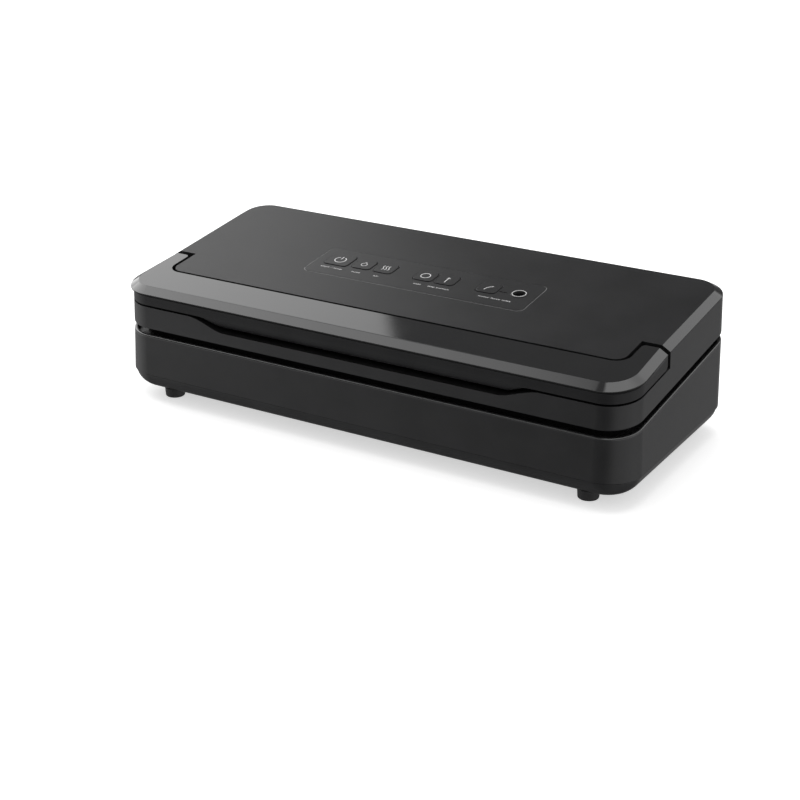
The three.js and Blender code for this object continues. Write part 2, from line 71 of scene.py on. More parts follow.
# On the deck: x to the right, y up the slope.
PANEL_X, PANEL_Y, PANEL_W, PANEL_H, PANEL_R, PANEL_THICK = -0.4, 6.9, 206.4, 49.8, 6.0, 1.9
PANEL_RISE = 0.25
BUTTON_Y = 10.9
BUTTON_RISE = 0.8
PRINT_RISE = 0.03
BUTTONS = {                     # x, width, height
    "start": (-82.9, 23.0, 21.0),
    "moist": (-58.8, 17.6, 17.6),
    "dry": (-37.9, 17.6, 17.6),
    "seal": (0.4, 18.0, 17.6),
    "pulse": (20.6, 18.0, 17.6),
    "hose": (59.0, 18.0, 17.6),
}
PORT_X, PORT_Y, PORT_OUTER, PORT_BARREL, PORT_BORE = 86.5, 10.6, 7.2, 6.0, 4.5

OVERHANG = 3.6
ARM_X = 209.3
BAR_Y = -62.3
ARM_END = -31.0
NOTCH_END = -26.0
U_RADIUS = 11.0
HANDLE_SKIN = 2.2
HANDLE_GAP = 1.8                # under the handle
U_GAP = 1.2                     # half the gap between lid and handle inside the U
ARM_EXTRA = 0.8                 # the gap is a little wider beside the arms
END_RADIUS = 3.6                # rounds the inner corner of each arm's end
SIDE_FLARE = 1.6                # how far the chamfer stands out at the corners
PIVOT_ALONG, PIVOT_BELOW, PIVOT_R = -36.0, 7.0, 2.0
PIN_REACH = 230.0               # the pin holes end inside the handle's outer wall
SCOOP_INNER, SCOOP_OUTER, SCOOP_FLOOR, SCOOP_BACK = 125.0, 168.0, 86.9, -88.0
HOOK_X = 190.0

# In the finger scoop the bar reaches further down and curls under: (drop, inset) of its skin.
LIP = [(-2.2, 0.0), (0.0, 0.2), (2.0, 0.7), (3.9, 1.45), (5.5, 2.45), (6.9, 3.7), (7.9, 5.2),
       (8.4, 6.8)]
LIP_REACH, LIP_RUN = 141.0, 10.0
LIP_DEPTH, LIP_CURL = 7.0, 6.2  # of its inner side

HINGE_Y = 94.0
HINGE_X = 150.0
HINGE_Z = (BASE_TOP + LID_LOW) / 2 + HINGE_Y * math.tan(SLOPE)
GLAND_X, GLAND_Z, GLAND_R = -190, 36, 6.3

BEVEL = 14.8                    # the bottom cover curves in this far
COVER_SKIN = 3.5
SCREW_X, SCREW_Y, SCREW_HOLE_R = 120, 60, 1.9
FOOT_X, FOOT_Y, FOOT_R = 194.8, 80.3, 8.7
BAY_HALF, BAY_LOW, BAY_HIGH = 158.0, 16.0, 82.0
TRAY_HALF, TRAY_LOW, TRAY_HIGH = 150.0, -62.0, -34.0
GUTTER_OUTER, GUTTER_INNER, GUTTER_DEPTH = 2.4, 11.6, 4.2

PIVOT_Y = PIVOT_ALONG * math.cos(SLOPE) + PIVOT_BELOW * math.sin(SLOPE)
PIVOT_Z = DECK + PIVOT_ALONG * math.sin(SLOPE) - PIVOT_BELOW * math.cos(SLOPE)

CORNER_STEPS = 20
FRONT_STEPS = 96
SCOOP_STEPS = 28
SIDES = {"left": -1, "right": 1}

# ---- mesh helpers ---------------------------------------------------------------------------

SHEAR = Matrix(((1, 0, 0, 0), (0, 1, 0, 0), (0, math.tan(SLOPE), 1, 0), (0, 0, 0, 1)))
ON_DECK = Matrix.Translation((0, 0, DECK)) @ Matrix.Rotation(SLOPE, 4, "X")
ALONG_X = Matrix(((0, 0, 1, 0), (1, 0, 0, 0), (0, 1, 0, 0), (0, 0, 0, 1)))
ALONG_Y = Matrix(((1, 0, 0, 0), (0, 0, -1, 0), (0, 1, 0, 0), (0, 0, 0, 1)))
FAR = 260.0                     # past every side of the body


def slant(y):
    """Rise of the sloping planes at y."""
    return y * math.tan(SLOPE)


def grow(level):
    """How far the drafted wall stands out at a level."""
    return (DRAFT_LEVEL - level) * math.tan(DRAFT)


def new_mesh(points, faces):
    mesh = bpy.data.meshes.new("work")
    mesh.from_pydata([tuple(p) for p in points], [], faces)
    mesh.validate()
    bm = bmesh.new()
    bm.from_mesh(mesh)
    bmesh.ops.remove_doubles(bm, verts=bm.verts, dist=1e-4)
    bmesh.ops.recalc_face_normals(bm, faces=bm.faces)
    bm.to_mesh(mesh)
    bm.free()
    return mesh


def moved(mesh, matrix):
    mesh.transform(matrix)
    if matrix.determinant() < 0:
        mesh.flip_normals()
    return mesh


def outline(offset, overhang=0.0):
    """Plan outline of the body, anticlockwise. The overhang moves only what faces the front."""
    radius = CORNER + offset
    points = []
    for corner, (sx, sy) in enumerate(((1, -1), (1, 1), (-1, 1), (-1, -1))):
        for i in range(CORNER_STEPS + 1):
            angle = rad(90 * (corner - 1) + 90 * i / CORNER_STEPS)
            front = max(0.0, -math.sin(angle))
            x = sx * (WIDTH / 2 - CORNER) + radius * math.cos(angle)
            y = sy * (DEPTH / 2 - CORNER) + radius * math.sin(angle) - overhang * front
            points.append((x, y))
    return points


def soften(profile, steps=4):
    """Profile corners (offset, overhang, level, trim), each rounded over its trim length."""
    out = []
    for i, corner in enumerate(profile):
        at = Vector(corner[:3])
        trim = corner[3] if len(corner) > 3 else 0
        if not trim or i in (0, len(profile) - 1):
            out.append(at)
            continue
        a = at + (Vector(profile[i - 1][:3]) - at).normalized() * trim
        c = at + (Vector(profile[i + 1][:3]) - at).normalized() * trim
        for k in range(steps + 1):
            t = k / steps
            out.append(a * (1 - t) ** 2 + at * 2 * t * (1 - t) + c * t * t)
    return out


def tube_faces(rings, count):
    """Side faces of a stack of rings, each of count points."""
    faces = []
    for k in range(rings - 1):
        for i in range(count):
            j = (i + 1) % count
            faces.append((k * count + i, k * count + j, (k + 1) * count + j, (k + 1) * count + i))
    return faces


def loft(sections):
    """Closed solid through plan outlines: each section is (points, level, sloped)."""
    points = []
    for plan, level, sloped in sections:
        points += [(x, y, level + (slant(y) if sloped else 0)) for x, y in plan]
    count = len(sections[0][0])
    faces = tube_faces(len(sections), count)
    faces.append(tuple(reversed(range(count))))
    faces.append(tuple(range((len(sections) - 1) * count, len(sections) * count)))
    return new_mesh(points, faces)


def loft_profile(profile):
    return loft([(outline(offset, overhang), level, True) for offset, overhang, level in profile])


def rect(x0, y0, x1, y1, radius=0.0, steps=8):
    """Rectangle with rounded corners, anticlockwise."""
    if radius <= 0:
        return [(x0, y0), (x1, y0), (x1, y1), (x0, y1)]
    points = []
    centres = ((x1 - radius, y0 + radius), (x1 - radius, y1 - radius),
               (x0 + radius, y1 - radius), (x0 + radius, y0 + radius))
    for corner, (cx, cy) in enumerate(centres):
        for i in range(steps + 1):
            angle = rad(90 * (corner - 1) + 90 * i / steps)
            points.append((cx + radius * math.cos(angle), cy + radius * math.sin(angle)))
    return points


def prism(shape, low, high):
    """Upright solid on a plan shape."""
    count = len(shape)
    points = [(x, y, low) for x, y in shape] + [(x, y, high) for x, y in shape]
    faces = [(i, (i + 1) % count, count + (i + 1) % count, count + i) for i in range(count)]
    faces += [tuple(reversed(range(count))), tuple(range(count, 2 * count))]
    return new_mesh(points, faces)


def slab(x0, y0, x1, y1, low, high, radius=0.0, steps=8):
    """Block with sloping top and bottom."""
    return moved(prism(rect(x0, y0, x1, y1, radius, steps), low, high), SHEAR)


def block(x0, y0, z0, x1, y1, z1):
    return prism(rect(x0, y0, x1, y1), z0, z1)


def turned(profile, segments=48):
    """Lathe about Z from a closed list of (radius, z)."""
    points, faces = [], []
    for s in range(segments):
        angle = 2 * math.pi * s / segments
        points += [(r * math.cos(angle), r * math.sin(angle), z) for r, z in profile]
    count = len(profile)
    for s in range(segments):
        t = (s + 1) % segments
        for i in range(count):
            j = (i + 1) % count
            if profile[i][0] == 0 and profile[j][0] == 0:
                continue
            faces.append((s * count + i, t * count + i, t * count + j, s * count + j))
    return new_mesh(points, faces)


def rod(radius, low, high, segments=48):
    return turned([(0, low), (radius, low), (radius, high), (0, high)], segments)


def rod_x(radius, x0, x1, y, z):
    return moved(rod(radius, x0, x1, 32),
                 Matrix.Translation((0, y, z)) @ Matrix.Rotation(math.pi / 2, 4, "Y"))


def evaluated(mesh, *setups):
    """The mesh after modifiers. Each setup is (kind, settings)."""
    obj = bpy.data.objects.new("work", mesh)
    bpy.context.scene.collection.objects.link(obj)
    for kind, settings in setups:
        modifier = obj.modifiers.new(kind.lower(), kind)
        for key, value in settings.items():
            setattr(modifier, key, value)
    graph = bpy.context.evaluated_depsgraph_get()
    result = bpy.data.meshes.new_from_object(obj.evaluated_get(graph), depsgraph=graph)
    bpy.data.objects.remove(obj)
    return result


def boolean(mesh, operation, *tools):
    for tool in tools:
        other = bpy.data.objects.new("tool", tool)
        bpy.context.scene.collection.objects.link(other)
        mesh = evaluated(mesh, ("BOOLEAN", {"operation": operation, "object": other,
                                            "solver": "EXACT"}))
        bpy.data.objects.remove(other)
    return mesh


def cut(mesh, *tools):
    return boolean(mesh, "DIFFERENCE", *tools)


def join(mesh, *tools):
    return boolean(mesh, "UNION", *tools)


def tidy(mesh, angle=0.2):
    """Merges loose points and flat neighbouring faces, so that edges bevel cleanly."""
    bm = bmesh.new()
    bm.from_mesh(mesh)
    bmesh.ops.remove_doubles(bm, verts=bm.verts, dist=2e-3)
    bmesh.ops.dissolve_limit(bm, angle_limit=rad(angle), verts=bm.verts, edges=bm.edges,
                             use_dissolve_boundaries=False)
    bmesh.ops.recalc_face_normals(bm, faces=bm.faces)
    bm.to_mesh(mesh)
    bm.free()
    return mesh


def settle(mesh, bevel=0.4, segments=3, angle=32):
    """Rounds the sharp edges and lets the flat faces set the shading."""
    for polygon in mesh.polygons:
        polygon.use_smooth = True
    setups = []
    if bevel:
        setups.append(("BEVEL", {"width": bevel, "segments": segments, "limit_method": "ANGLE",
                                 "angle_limit": rad(angle), "use_clamp_overlap": True}))
    setups.append(("WEIGHTED_NORMAL", {"mode": "FACE_AREA", "weight": 50, "keep_sharp": False}))
    return evaluated(mesh, *setups)


def piece(name, mesh, body, slot, material, *nodes, others=()):
    """Scales the mesh to metres and puts it on its body, in place of the CAD nodes named. Each of
    the others is (material, test): the faces that pass the test get that material, and a later
    one wins."""
    mesh.materials.clear()
    mesh.materials.append(material)
    for index, (other, test) in enumerate(others, 1):
        mesh.materials.append(other)
        for polygon in mesh.polygons:
            x, y, z = polygon.center
            if test(x, y, z - slant(y), polygon.normal):
                polygon.material_index = index
    mesh.transform(Matrix.Scale(MM, 4))
    mesh.name = name
    obj = bpy.data.objects.new(name, mesh)
    bpy.context.scene.collection.objects.link(obj)
    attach(obj, body)
    if nodes:
        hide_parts(*nodes)


def aim(obj, location, target):
    obj.location = location
    obj.rotation_mode = "QUATERNION"
    obj.rotation_quaternion = (Vector(target) - obj.location).to_track_quat("-Z", "Y")


# ---- camera ---------------------------------------------------------------------------------

scene = bpy.context.scene
camera = bpy.data.objects.new("camera", bpy.data.cameras.new("camera"))
scene.collection.objects.link(camera)
camera.data.lens = 74.7
camera.data.sensor_width = 36
camera.data.clip_start = 0.05
camera.data.clip_end = 60
aim(camera, (0.65119, -1.11113, 0.5446), (-0.01795, 0, 0.00413))
scene.camera = camera
scene.view_settings.view_transform = "Standard"

# ---- materials ------------------------------------------------------------------------------


class Nodes:
    """Short way to build a node tree: each call makes one node and gives its first output."""

    def __init__(self, tree):
        self.tree = tree
        tree.nodes.clear()

    def add(self, kind, inputs=None, output=0, **settings):
        node = self.tree.nodes.new(kind)
        for key, value in settings.items():
            setattr(node, key, value)
        for key, value in (inputs or {}).items():
            if isinstance(value, bpy.types.NodeSocket):
                self.tree.links.new(value, node.inputs[key])
            else:
                node.inputs[key].default_value = value
        return node.outputs[output] if node.outputs else node

    def math(self, operation, a, b=0.0, clamp=False):
        return self.add("ShaderNodeMath", {0: a, 1: b}, operation=operation, use_clamp=clamp)

    def ramp(self, value, low, high, to_low=0.0, to_high=1.0, kind="SMOOTHSTEP"):
        return self.add("ShaderNodeMapRange", {0: value, 1: low, 2: high, 3: to_low, 4: to_high},
                        interpolation_type=kind)

    def noise(self, vector, scale, detail, rough):
        return self.add("ShaderNodeTexNoise", {"Vector": vector, "Scale": scale, "Detail": detail,
                                               "Roughness": rough})

    def mix(self, factor, a, b):
        return self.add("ShaderNodeMix", {0: factor, 6: a, 7: b}, output=2, data_type="RGBA")

    def axes(self, vector):
        split = self.tree.nodes.new("ShaderNodeSeparateXYZ")
        self.tree.links.new(vector, split.inputs[0])
        return split.outputs


def tone(colour, factor, lift=0.0):
    return tuple(min(1, c * factor + lift) for c in colour) + (1,)


def surface(name, colour, roughness, grain=0.3, bump=0.25, vary=0.06, tint=0.12, edge_highlight=0.25,
            metallic=0.0, specular=0.5, stretch=(1, 1, 1), weave=0.0):
    """Procedural finish. grain is the size of the surface texture in mm and bump its strength, vary
    and tint are the unevenness of roughness and colour, edge_highlight is the painted highlight:
    how much lighter the edges and corners are coloured, stretch scales the texture along each axis,
    and weave is the pitch of a cloth in mm."""
    material = bpy.data.materials.new(name)
    material.use_nodes = True
    n = Nodes(material.node_tree)
    place = n.add("ShaderNodeTexCoord", output=3)
    if stretch != (1, 1, 1):
        place = n.add("ShaderNodeMapping", {"Vector": place, "Scale": stretch})
    fine = n.noise(place, 1 / (grain * MM), 3.0, 0.6)
    cloud = n.noise(place, 28, 3.0, 0.55)
    spots = n.noise(place, 260, 2.0, 0.5)
    rounded = n.add("ShaderNodeBevel", {"Radius": 0.0006}, samples=4)
    flat = n.add("ShaderNodeNewGeometry", output=1)
    alike = n.add("ShaderNodeVectorMath", {0: rounded, 1: flat}, output=1, operation="DOT_PRODUCT")
    edge = n.ramp(alike, 0.86, 0.985, 1.0, 0.0)
    shade = n.mix(n.ramp(cloud, 0.3, 0.7), tone(colour, 1 - tint), tone(colour, 1 + tint))
    shade = n.mix(n.ramp(fine, 0.35, 0.75, 0.0, 0.1), shade, tone(colour, 2.2, 0.01))
    # Painted highlight: the edges and corners found by the bevel node get a lighter colour.
    shade = n.mix(n.math("MULTIPLY", edge, edge_highlight), shade, tone(colour, 2.6, 0.02))
    rough = n.math("ADD", n.ramp(cloud, 0.25, 0.75, roughness - vary, roughness + vary, "LINEAR"),
                   n.ramp(spots, 0.3, 0.7, -0.3 * vary, 0.3 * vary, "LINEAR"))
    polish = n.math("MULTIPLY", edge, min(0.2, roughness * 0.5))
    rough = n.math("SUBTRACT", rough, polish, clamp=True)
    if weave:
        turns = 2 * math.pi / (weave * MM)
        threads = [n.math("SINE", n.math("MULTIPLY", axis, turns)) for axis in n.axes(place)[:2]]
        cloth = n.ramp(n.math("MULTIPLY", *threads), -0.6, 0.6)
        fine = n.math("ADD", n.math("MULTIPLY", fine, 0.35), cloth)
        shade = n.mix(n.math("MULTIPLY", cloth, 0.3), shade, tone(colour, 0.45))
    bumps = n.add("ShaderNodeBump", {"Strength": bump, "Distance": grain * MM * 0.35,
                                     "Height": fine})
    shader = n.add("ShaderNodeBsdfPrincipled", {
        "Base Color": shade, "Roughness": rough, "Normal": bumps, "Metallic": metallic,
        "Specular IOR Level": specular})
    n.add("ShaderNodeOutputMaterial", {"Surface": shader})
    return material


MATT = {"grain": 0.35, "bump": 0.15}
SATIN = {"grain": 0.25, "bump": 0.1, "vary": 0.015, "specular": 0.2}
METAL = {"grain": 0.12, "bump": 0.1, "metallic": 1.0}
INK = {"grain": 0.2, "bump": 0.05, "edge_highlight": 0.0}

BODY = surface("body_plastic", (0.0125, 0.0125, 0.013), 0.34, **MATT, vary=0.015, specular=0.2)
EDGE = surface("lid_edge", (0.014, 0.014, 0.0145), 0.16, bump=0.05, vary=0.01, tint=0.05)
# Matte side of the handle, its colour a little darker than the body as painted shade under the
# chamfer's overhang.
SHADED_BAND = surface("grip_side", (0.0115, 0.0115, 0.012), 0.34, **MATT, vary=0.015, specular=0.1)
# Painted shade: a near-black colour laid on gaps, recesses and undersides where shade falls.
PAINTED_SHADE = surface("shadow_gap", (0.003, 0.003, 0.0032), 0.55, **MATT, vary=0.02, edge_highlight=0.0,
               specular=0.15)
HANDLE = surface("handle_plastic", (0.014, 0.014, 0.0145), 0.06, grain=0.2, bump=0.03, vary=0.01,
                 tint=0.05)
PANEL = surface("panel_plastic", (0.014, 0.014, 0.0145), 0.33, **SATIN)
BUTTON = surface("button_plastic", (0.014, 0.014, 0.0145), 0.33, **SATIN)
INNER = surface("inner_plastic", (0.03, 0.03, 0.0315), 0.42, grain=0.4, bump=0.3, vary=0.04)
TRAY = surface("tray_plastic", (0.11, 0.115, 0.12), 0.36, bump=0.15, vary=0.05)
RUBBER = surface("foot_rubber", (0.006, 0.006, 0.0065), 0.75, bump=0.4)
SILICONE = surface("gasket_silicone", (0.2, 0.205, 0.21), 0.6, grain=0.4, bump=0.2)
STEEL = surface("steel", (0.6, 0.6, 0.61), 0.28, **METAL, tint=0.04, stretch=(0.06, 1, 1))
PIN = surface("blackened_steel", (0.05, 0.05, 0.052), 0.4, **METAL, tint=0.06)
HEATER = surface("heater_steel", (0.55, 0.53, 0.5), 0.3, **METAL, tint=0.05, stretch=(0.05, 1, 1))
TAPE = surface("glass_tape", (0.36, 0.22, 0.1), 0.5, grain=0.5, bump=0.5, weave=1.6)
BOARD = surface("board", (0.02, 0.12, 0.05), 0.45, grain=0.4, bump=0.15)
COMPONENT = surface("component", (0.025, 0.026, 0.028), 0.45, bump=0.2)
PANEL_HIGHLIGHT = surface("panel_edge_highlight", (0.2, 0.2, 0.2), 0.3, **INK)
PRINT = surface("print", (0.62, 0.62, 0.62), 0.5, **INK)
SLOTS = {"body_plastic": BODY, "handle_plastic": HANDLE, "panel_plastic": PANEL,
         "button_plastic": BUTTON, "inner_plastic": INNER, "tray_plastic": TRAY,
         "foot_rubber": RUBBER, "gasket_silicone": SILICONE, "steel": STEEL,
         "heater_steel": HEATER, "glass_tape": TAPE, "board": BOARD, "component": COMPONENT}

# ---- base -----------------------------------------------------------------------------------

base_outer = loft([
    (outline(grow(SEAM) - 0.5), SEAM, False),
    (outline(grow(SEAM) - 0.12), SEAM + 0.15, False),
    (outline(grow(SEAM)), SEAM + 0.6, False),
] + [(outline(offset), level, True) for offset, _, level in soften([
    (grow(60), 0, 60), (grow(BASE_TOP), 0, BASE_TOP, 1.6),
    (grow(BASE_TOP) - 3, 0, BASE_TOP)])[1:-1]])
base_inner = loft([
    (outline(grow(SEAM) - WALL), SEAM - 2, False),
    (outline(grow(BASE_TOP) - WALL), BASE_TOP - GUTTER_DEPTH - 2.4, True),
    (outline(grow(BASE_TOP) - GUTTER_INNER - 2.2), BASE_TOP - GUTTER_DEPTH - 2.3, True),
    (outline(grow(BASE_TOP) - GUTTER_INNER - 2.2), BASE_TOP - 2.5, True)])
base_inner = cut(base_inner, block(-FAR, 92, 72, FAR, 110, 95))


def hook_slots(y0, y1, low, high):
    return [slab(side * HOOK_X - 6, y0, side * HOOK_X + 6, y1, low, high) for side in (-1, 1)]


# A groove behind the rim, on all sides but the rear.
gutter = cut(
    loft([(outline(grow(BASE_TOP) - GUTTER_OUTER), BASE_TOP - GUTTER_DEPTH, True),
          (outline(grow(BASE_TOP) - GUTTER_OUTER), BASE_TOP + 2, True)]),
    loft([(outline(grow(BASE_TOP) - GUTTER_INNER), BASE_TOP - GUTTER_DEPTH - 1, True),
          (outline(grow(BASE_TOP) - GUTTER_INNER), BASE_TOP + 3, True)]),
    block(-FAR, 78, 50, FAR, 120, 100))
turning_room = block(-FAR, HINGE_Y + 2.8, HINGE_Z - 5.8, FAR, 110, 110)
bracket_pockets = [block(side * HINGE_X - 10, 86.5, 68, side * HINGE_X + 10, 97, 95)
                   for side in (-1, 1)]
gland_hole = moved(rod(GLAND_R, 90, 110), Matrix.Translation((GLAND_X, 0, GLAND_Z))
                   @ Matrix.Rotation(-math.pi / 2, 4, "X"))
base = cut(
    base_outer, base_inner, gutter, turning_room,
    slab(-BAY_HALF, BAY_LOW, BAY_HALF, BAY_HIGH, BASE_TOP - 8, BASE_TOP + 2, 4),
    slab(-TRAY_HALF, TRAY_LOW, TRAY_HALF, TRAY_HIGH, BASE_TOP - 8, BASE_TOP + 2, 5),
    *hook_slots(-79, -67, BASE_TOP - 6, BASE_TOP + 2),
    *bracket_pockets, gland_hole)


def depth_inside(x, y, level):
    """How far a point lies inside the body's outline at its level."""
    qx, qy = abs(x) - (WIDTH / 2 - CORNER), abs(y) - (DEPTH / 2 - CORNER)
    return CORNER + grow(level) - math.hypot(max(qx, 0), max(qy, 0)) - min(max(qx, qy), 0)


def tilted(normal):
    """Faces of a rounded edge: neither wall nor top."""
    return 0.15 < normal.z < 0.985


def on_base_rim(x, y, level, normal):
    return tilted(normal) and level > BASE_TOP - 2


# Painted shade: the gutter behind the base's rim is coloured near black.
def in_gutter(x, y, level, normal):
    return (BASE_TOP - GUTTER_DEPTH - 0.5 < level < BASE_TOP - 0.5
            and 1.2 < depth_inside(x, y, level) < GUTTER_INNER + 1)


piece("base_case", settle(tidy(base), 0.45), "base", "body_plastic", BODY, "base_shell",
      others=[(EDGE, on_base_rim), (PAINTED_SHADE, in_gutter)])

# (inset, level) of the bottom cover's rounded side.
BELLY_CURVE = [(BEVEL, BELLY), (12.9, 9.15), (11.2, 9.85), (9.4, 10.8), (7.7, 11.95), (6.1, 13.3),
               (4.7, 14.8), (3.5, 16.5), (2.5, 18.3), (1.75, 20.2), (1.2, 21.8), (0.95, 23.1)]
cover_outer = loft([(outline(grow(SEAM) - inset), level, False) for inset, level in BELLY_CURVE])
cover_inner = loft([
    (outline(grow(SEAM) - BEVEL - 1), BELLY + 2.4, False),
    (outline(grow(SEAM) - 10), 13.4, False),
    (outline(grow(SEAM) - 5), 18.4, False),
    (outline(grow(SEAM) - COVER_SKIN), SEAM - 1.4, False),
    (outline(grow(SEAM) - COVER_SKIN), SEAM + 1, False)])
cover = cut(cover_outer, cover_inner, *[
    moved(rod(SCREW_HOLE_R, BELLY - 2, BELLY + 5, 24), Matrix.Translation((x, y, 0)))
    for x in (-SCREW_X, SCREW_X) for y in (-SCREW_Y, SCREW_Y)])
piece("belly_pan", settle(tidy(cover), 0.25), "base", "body_plastic", BODY, "bottom_cover")

foot_profile = [
    (0, 0.5), (4.6, 0.5), (5.1, 0.35), (5.4, 0.05), (5.7, 0), (FOOT_R - 1.4, 0),
    (FOOT_R - 0.9, 0.12), (FOOT_R - 0.6, 0.45), (FOOT_R - 0.45, 0.9),
    (FOOT_R, BELLY - GAP - 0.4), (FOOT_R - 0.2, BELLY - GAP), (0, BELLY - GAP)]
for end, sy in (("front", -1), ("rear", 1)):
    for side, sx in SIDES.items():
        foot = moved(turned(foot_profile, 64), Matrix.Translation((sx * FOOT_X, sy * FOOT_Y, 0)))
        piece(f"foot_pad_{end}_{side}", settle(foot, 0), "base", "foot_rubber", RUBBER,
              f"foot_{end}_{side}")

# ---- lid ------------------------------------------------------------------------------------


def inside_u(inset):
    """Space between the handle's arms."""
    return slab(-ARM_X + inset, BAR_Y + inset, ARM_X - inset, 140, 60, 140, U_RADIUS - inset, 14)


def lid_recess(skin):
    """What the handle and the finger scoop take out of the lid, larger by the skin."""
    step = cut(slab(-FAR, -130, FAR, NOTCH_END + skin, HANDLE_LOW - HANDLE_GAP - skin, DECK + 30),
               inside_u(U_GAP + skin))
    top = HANDLE_LOW - HANDLE_GAP + 0.35
    floor = SCOOP_FLOOR - skin
    outer = SCOOP_OUTER + skin
    right = []
    for i in range(SCOOP_STEPS + 1):
        t = i / SCOOP_STEPS
        right.append((outer - (SCOOP_OUTER - SCOOP_INNER) * t,
                      floor + (top - floor) * (0.5 + 0.5 * math.cos(math.pi * t ** 1.25))))
    left = [(-x, level) for x, level in right]
    shape = [(-outer, HANDLE_LOW + 3), *left, *reversed(right), (outer, HANDLE_LOW + 3)]
    at_front = SHEAR @ Matrix.Translation((0, SCOOP_BACK + skin, 0)) @ ALONG_Y
    return join(step, moved(prism(shape, 0, 40), at_front))


def panel_shape(inset, low, high):
    """The panel's outline, smaller by the inset, in deck coordinates."""
    half_width, half_height = PANEL_W / 2 - inset, PANEL_H / 2 - inset
    return prism(rect(PANEL_X - half_width, PANEL_Y - half_height, PANEL_X + half_width,
                      PANEL_Y + half_height, PANEL_R - inset, 12), low, high)


skirt = grow(CHAMFER_LOW)
lid_outer = loft_profile(soften([
    (grow(LID_LOW) - 3, 0, LID_LOW), (grow(LID_LOW), 0, LID_LOW, 1.2), (skirt, 0, CHAMFER_LOW, 0.5),
    (skirt - CHAMFER, 0, DECK, 0.5), (skirt - CHAMFER - 3, 0, DECK)])[1:-1])
lid_inner = loft_profile([
    (grow(LID_LOW) - WALL, 0, LID_LOW - 1), (skirt - WALL, 0, CHAMFER_LOW - 3),
    (skirt - WALL - 5, 0, DECK - TOP_SKIN)])
cavity = cut(lid_inner, lid_recess(WALL))
lid = cut(
    lid_outer, lid_recess(0), cavity,
    moved(panel_shape(0, -PANEL_THICK - GAP, 10), ON_DECK),
    moved(panel_shape(3, -12, 10), ON_DECK),
    *hook_slots(-93, -83, HANDLE_LOW - 8, HANDLE_LOW + 4),
    rod_x(PIVOT_R + GAP, -FAR, FAR, PIVOT_Y, PIVOT_Z))


def on_chamfer(x, y, level, normal):
    return 0.7 < normal.z < 0.97 and level > CHAMFER_LOW - 0.2 and y > NOTCH_END


def on_lid_rim(x, y, level, normal):
    return tilted(normal) and level < HANDLE_LOW


def in_lid_gap(x, y, level, normal):
    """Painted shade: the ledge under the handle, the wall inside the U and the inside of the finger
    scoop are coloured near black.
    """
    inside = depth_inside(x, y, level) > 0.9
    ledge = HANDLE_LOW - HANDLE_GAP - 0.5 < level < DECK - 0.7 and y < NOTCH_END + 0.5
    scoop = (abs(x) < SCOOP_OUTER + 1 and y < SCOOP_BACK + 0.3
             and SCOOP_FLOOR - 0.3 < level < HANDLE_LOW)
    return inside and (ledge or scoop)


piece("lid_case", settle(tidy(lid), 0.55), "lid", "body_plastic", BODY, "lid_shell",
      others=[(EDGE, on_chamfer), (EDGE, on_lid_rim), (PAINTED_SHADE, in_lid_gap)])

# ---- handle: one profile carried round the U --------------------------------------------------

ARM_FRONT = -(DEPTH / 2 - CORNER)      # where the outer corners begin


def handle_path():
    """Places along the U, from the left arm's end to the right one's: (kind, share of the way)."""
    inner_length = ARM_END - BAR_Y - U_RADIUS
    arm = [d / inner_length for d in (0, 0.25, 0.8, 1.6, 2.6, 3.7)]
    arm += [0.3 + 0.1 * i for i in range(8)]
    corner = [i / CORNER_STEPS for i in range(1, CORNER_STEPS)]
    return ([("left_arm", t) for t in arm] + [("left_corner", t) for t in corner]
            + [("front", i / FRONT_STEPS) for i in range(FRONT_STEPS + 1)]
            + [("right_corner", t) for t in corner]
            + [("right_arm", 1 - t) for t in reversed(arm)])


def corner_turn(kind, t):
    """Side and direction of a place in a corner."""
    return (-1, rad(180 + 90 * t)) if kind == "left_corner" else (1, rad(270 + 90 * t))


def outer_point(kind, t, offset, overhang=0.0):
    """Outer wall of the U, moved outwards by the offset and to the front by the overhang."""
    cx = WIDTH / 2 - CORNER
    flare = SIDE_FLARE * overhang / OVERHANG
    if kind == "left_arm":
        return -(WIDTH / 2 + offset) - flare * t, ARM_END + (ARM_FRONT - ARM_END) * t
    if kind == "right_arm":
        return WIDTH / 2 + offset + flare * (1 - t), ARM_FRONT + (ARM_END - ARM_FRONT) * t
    if kind == "front":
        return -cx + 2 * cx * t, -(DEPTH / 2 + offset) - overhang
    side, angle = corner_turn(kind, t)
    front = max(0.0, -math.sin(angle))
    return (side * cx + (CORNER + offset + flare) * math.cos(angle),
            ARM_FRONT + (CORNER + offset) * math.sin(angle) - overhang * front)


def inner_point(kind, t, out):
    """Inner wall of the U, moved outwards by out."""
    cx = ARM_X - U_RADIUS
    cy = BAR_Y + U_RADIUS
    r = U_RADIUS + U_GAP + out
    if kind in ("left_arm", "right_arm"):
        t = t if kind == "left_arm" else 1 - t
        y = ARM_END + (cy - ARM_END) * t
        short = max(0.0, END_RADIUS - (ARM_END - y))
        x = cx + r + ARM_EXTRA + END_RADIUS - math.sqrt(END_RADIUS ** 2 - short ** 2)
        return (-x if kind == "left_arm" else x), y
    if kind == "front":
        return -cx + 2 * cx * t, cy - r
    side, angle = corner_turn(kind, t)
    wide = ARM_EXTRA * abs(math.cos(angle))
    return side * (cx + wide) + r * math.cos(angle), cy + r * math.sin(angle)


def lip_at(kind, t):
    """How much of the lip a place has: all of it in the scoop, none outside."""
    if kind != "front":
        return 0.0
    x = (WIDTH / 2 - CORNER) * abs(2 * t - 1)
    share = min(1.0, max(0.0, (LIP_REACH + LIP_RUN - x) / (2 * LIP_RUN)))
    return 0.5 - 0.5 * math.cos(math.pi * share)


